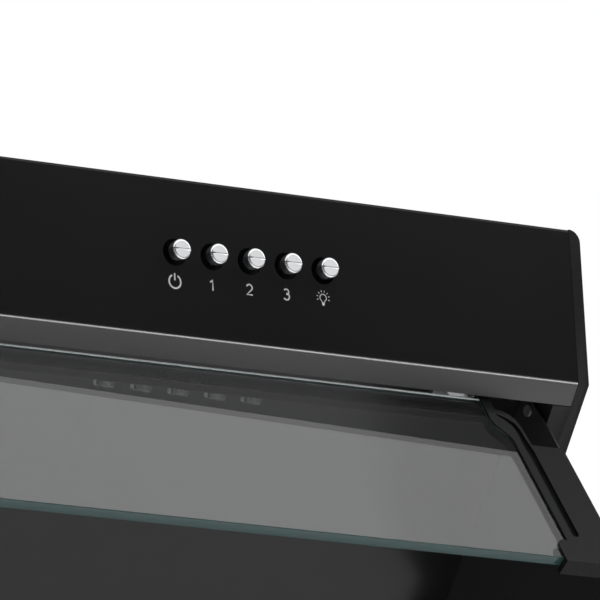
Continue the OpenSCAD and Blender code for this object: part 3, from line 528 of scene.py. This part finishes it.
# ---- Visor glass ----
# Five millimetre clear float glass in one pane. Its long edges and notched corners are ground and
# polished, and it rests in the arms.
glass_clear = bpy.data.materials.new("float_glass")
glass_clear.use_nodes = True
shader = glass_clear.node_tree.nodes["Principled BSDF"]
shader.inputs["Base Color"].default_value = (0.975, 0.992, 0.987, 1)
shader.inputs["Transmission Weight"].default_value = 1
shader.inputs["Roughness"].default_value = 0.0
shader.inputs["IOR"].default_value = 1.52
glass_edge = bpy.data.materials.new("polished_glass_edge")
glass_edge.use_nodes = True
shader = glass_edge.node_tree.nodes["Principled BSDF"]
shader.inputs["Base Color"].default_value = (0.05, 0.12, 0.115, 1)
shader.inputs["Transmission Weight"].default_value = 0.4
shader.inputs["Roughness"].default_value = 0.16
shader.inputs["IOR"].default_value = 1.52
pane = eased("visor_glass", "visor_pane", "visor", "visor_glass", None, width=0.4 * MM, angle=60,
             weld=0.05 * MM, weighted=False)
pane.data.materials.clear()
pane.data.materials.append(glass_clear)
pane.data.materials.append(glass_edge)
pane_normal = max(pane.data.polygons, key=lambda f: f.area).normal.copy()
for facet in pane.data.polygons:
    broad = abs(facet.normal.dot(pane_normal)) > 0.95
    facet.material_index = 0 if broad else 1
    facet.use_smooth = not broad

# ---- Visor arms ----
# Semi-gloss black mouldings that hold the glass by its ends, each with a raised rib and a hinge lug.
arm_mould = finish("arm_moulding", (0.006, 0.0062, 0.0066), (0.009, 0.0092, 0.0096), (0.24, 0.3),
                   grain=2200, cloud=9, bump=0.12, specular=0.16)
for side in ("left", "right"):
    eased(f"{side}_visor_arm", f"{side}_arm", "visor", "arm_plastic", arm_mould, width=0.5 * MM, segments=3)

# ---- Visor wings ----
# Black sheet steel sectors screwed under the arms; they close the sides of the open visor and slide in past
# the recess panel's edges when it folds.
# Their coat is the black steel coat painted several times lighter: painted fill light where the wings get
# too little light.
wing_coat_painted_fill = finish("wing_coat_painted_fill", (0.022, 0.022, 0.0225), (0.028, 0.028, 0.0285), (0.4, 0.46), grain=1400,
                   cloud=5, bump=0.2, specular=0.5)
for side in ("left", "right"):
    eased(f"{side}_visor_wing", f"{side}_wing", "visor", "black_steel", wing_coat_painted_fill, width=0.15 * MM)

# ---- Plain sheets ----
# The top, back and bottom are the panel's black coated steel; the side plates under the caps and the
# hidden brackets are zinc coated, with a faint spangle.
zinc = finish("zinc_sheet", (0.42, 0.44, 0.46), (0.62, 0.64, 0.66), (0.3, 0.5), grain=260, cloud=90,
              bump=0.05, metallic=1.0)
bright = finish("bright_steel", (0.56, 0.57, 0.58), (0.68, 0.69, 0.7), (0.2, 0.3), grain=1200, metallic=1.0)
for node, name in (("top_panel", "top_sheet"), ("back_panel", "back_sheet"),
                   ("bottom_frame", "bottom_sheet")):
    eased(node, name, "casing", "black_steel", black_coat, width=0.2 * MM)
for side in ("left", "right"):
    eased(f"{side}_side_plate", f"{side}_side_sheet", "casing", "zinc_steel", zinc, width=0.15 * MM)
    eased(f"{side}_hinge_bracket", f"{side}_hinge_angle", "casing", "bright_steel", bright, width=0.15 * MM)
eased("switch_bracket", "switch_angle", "casing", "zinc_steel", zinc, width=0.15 * MM)

# ---- Screws and hinge parts ----
# Pan head screws through the caps and under the visor wings, the wing studs and the turned hinge pins.
eased("cap_screws", "cap_screw_set", "casing", "zinc_steel", zinc, width=0.12 * MM)
eased("hinge_pins", "hinge_pin_pair", "casing", "bright_steel", bright, width=0.15 * MM)
eased("hinge_washers", "hinge_washer_pair", "casing", "zinc_steel", zinc, width=0.08 * MM)
eased("wing_screws", "wing_screw_set", "visor", "zinc_steel", zinc, width=0.12 * MM)

# ---- Grease filters ----
# A folded aluminium frame round two layers of expanded aluminium, and a black finger slide.
aluminium = finish("rolled_aluminium", (0.62, 0.63, 0.64), (0.76, 0.77, 0.78), (0.26, 0.38), grain=700,
                   cloud=30, bump=0.1, metallic=1.0)
slide_mould = finish("dark_moulding", (0.016, 0.016, 0.017), (0.022, 0.022, 0.023), (0.4, 0.5), grain=1800,
                     cloud=20, bump=0.2)
diamond_long = 8 * MM
diamond_short = 4.4 * MM
strand = 0.75 * MM


def expanded_sheet(name, low, high, level):
    """A layer of expanded metal: a square grid on its corner, drawn out to diamonds and trimmed."""
    wide, deep = high.x - low.x, high.y - low.y
    cells = int(wide / diamond_long + deep / diamond_short) + 2
    bpy.ops.object.select_all(action="DESELECT")
    bpy.ops.mesh.primitive_grid_add(x_subdivisions=cells, y_subdivisions=cells, size=cells / 2 ** 0.5,
                                    rotation=(0, 0, pi / 4))
    sheet = settle(bpy.context.object, name)
    sheet.scale = (diamond_long, diamond_short, 1)
    sheet.location = ((low.x + high.x) / 2, (low.y + high.y) / 2, level)
    settle(sheet, name)
    for corner, way in ((low, -1), (high, 1)):
        for axis in ((way, 0, 0), (0, way, 0)):
            bpy.ops.object.mode_set(mode="EDIT")
            bpy.ops.mesh.select_mode(type="VERT")
            bpy.ops.mesh.select_all(action="SELECT")
            bpy.ops.mesh.bisect(plane_co=(corner.x - way * strand, corner.y - way * strand, level),
                                plane_no=axis, clear_outer=True)
            bpy.ops.object.mode_set(mode="OBJECT")
    use(sheet, "WIREFRAME", thickness=strand, use_even_offset=False)
    return sheet


for side in ("left", "right"):
    eased(f"{side}_filter_frame", f"{side}_filter_rim", f"{side}_filter", "filter_aluminium", aluminium,
          width=0.6 * MM, segments=3)
    low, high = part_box(f"{side}_filter_mesh")
    levels = (low.z + strand, high.z - strand)
    layers = [expanded_sheet(f"{side}_layer", low, high, level) for level in levels]
    layers = join(layers, f"{side}_filter_layers")
    fit(layers, f"{side}_filter", "filter_aluminium", aluminium, f"{side}_filter_mesh")
    eased(f"{side}_filter_latch", f"{side}_filter_slide", f"{side}_latch", "dark_plastic", slide_mould,
          width=0.35 * MM)

# ---- Lamps ----
# White housings with a row of light emitting diodes on a board, closed by a frosted lens.
white_mould = finish("white_moulding", (0.66, 0.66, 0.64), (0.74, 0.74, 0.72), (0.4, 0.5), cloud=12)
diffuser = finish("frosted_diffuser", (0.8, 0.81, 0.82), (0.86, 0.87, 0.88), (0.3, 0.36), grain=1600,
                  bump=0.1)
for side in ("left", "right"):
    eased(f"{side}_lamp_body", f"{side}_lamp_housing", "casing", "switch_plastic", white_mould)
    eased(f"{side}_lamp_lens", f"{side}_lamp_cover", "casing", "lamp_lens", diffuser, width=0.5 * MM,
          segments=3)
eased("led_boards", "led_strips", "casing", "switch_plastic", white_mould, width=0)

# ---- Duct collar and damper ----
# A moulded collar screwed over the top opening, with two flaps that hang on one steel spindle.
for node, name, body in (("duct_collar", "collar_ring", "casing"), ("front_damper_flap", "front_flap_leaf",
                         "front_flap"), ("rear_damper_flap", "rear_flap_leaf", "rear_flap")):
    eased(node, name, body, "dark_plastic", slide_mould, width=0.3 * MM)
eased("damper_spindle", "spindle_rod", "casing", "bright_steel", bright, width=0.2 * MM)

# ---- Blower ----
# A zinc coated volute and its cover with a bell mouth, a moulded fan wheel and an enamelled motor.
enamel = finish("motor_enamel", (0.16, 0.17, 0.18), (0.22, 0.23, 0.24), (0.35, 0.45), cloud=25)
rubber = finish("black_rubber", (0.012, 0.012, 0.012), (0.02, 0.02, 0.02), (0.7, 0.8), grain=1500, bump=0.3)
for node, name in (("blower_housing", "volute_case"), ("blower_cover", "volute_cover")):
    eased(node, name, "casing", "zinc_steel", zinc, width=0.15 * MM)
eased("impeller", "fan_wheel", "rotor", "dark_plastic", slide_mould, width=0)
eased("motor_shaft", "motor_spindle", "rotor", "bright_steel", bright, width=0.3 * MM)
eased("motor", "motor_case", "casing", "motor_steel", enamel, width=0.4 * MM)
eased("motor_bushes", "bush_set", "casing", "rubber", rubber, width=0.3 * MM)
eased("capacitor", "capacitor_can", "casing", "switch_plastic", white_mould, width=0.5 * MM)

# ---- Switches and wiring ----
# The black switch block and its springs behind the panel, the terminal box, lamp driver, gland and wires.
switch_mould = finish("switch_moulding", (0.006, 0.006, 0.006), (0.009, 0.009, 0.009), (0.5, 0.6), cloud=20)
wire_cover = finish("wire_cover", (0.11, 0.012, 0.01), (0.16, 0.018, 0.014), (0.4, 0.5), cloud=40)
eased("switch_block", "switch_body", "casing", "switch_plastic", switch_mould, width=0.3 * MM)
for key in keys:
    low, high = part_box(f"{key}_spring")
    coil = eased(f"{key}_spring", f"{key}_coil", "casing", "bright_steel", bright, width=0)
    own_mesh(coil)
for node, name in (("terminal_box", "terminal_case"), ("terminal_lid", "terminal_cover"),
                   ("lamp_driver", "driver_case")):
    eased(node, name, "casing", "switch_plastic", white_mould, width=0.5 * MM)
eased("cable_gland", "gland_sleeve", "casing", "rubber", rubber, width=0.4 * MM)
eased("glass_gaskets", "gasket_pair", "visor", "rubber", rubber, width=0.1 * MM)
eased("wire_harness", "wire_loom", "casing", "dark_plastic", wire_cover, width=0)
